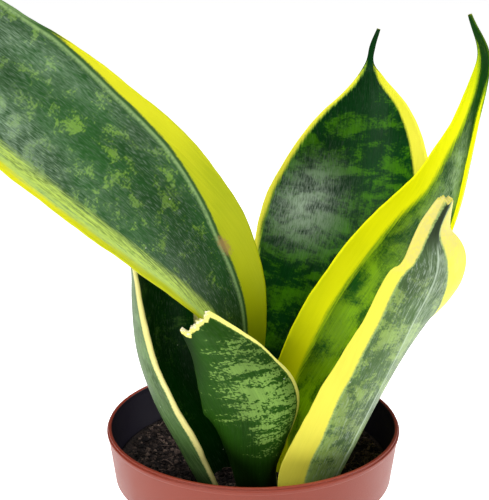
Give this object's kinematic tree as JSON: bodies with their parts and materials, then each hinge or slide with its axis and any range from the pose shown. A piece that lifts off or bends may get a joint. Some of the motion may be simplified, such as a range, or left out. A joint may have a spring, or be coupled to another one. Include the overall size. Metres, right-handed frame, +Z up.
{
  "type": "potted snake plant",
  "caption": "Young snake plant with yellow-edged mottled leaves in a plastic nursery pot filled with potting mix; a small table or shelf plant that stands on its pot.",
  "frame": {"origin": "centre of the pot's flat underside, where it stands on a table", "axes": "+Z up along the pot's axis; -Y is the front the plant is seen from; +X to the right in that view"},
  "size_m": [0.1988, 0.1071, 0.2491],
  "materials": {
    "pot_plastic": "terracotta-coloured satin plastic outside, near-black plastic inside",
    "potting_mix": "damp dark crumbly potting mix",
    "rhizome": "smooth fleshy rhizome",
    "leaf": "waxy dark green with paler cross mottling and broad yellow margins"
  },
  "bodies": {
    "root": {"nursery_pot": "pot_plastic", "potting_mix": "potting_mix", "rhizome": "rhizome", "leaf_left_broad": "leaf", "leaf_back_tall": "leaf", "leaf_right_arching": "leaf", "leaf_front_cut": "leaf", "leaf_right_outer": "leaf", "leaf_left_outer": "leaf"}
  },
  "joints": []
}
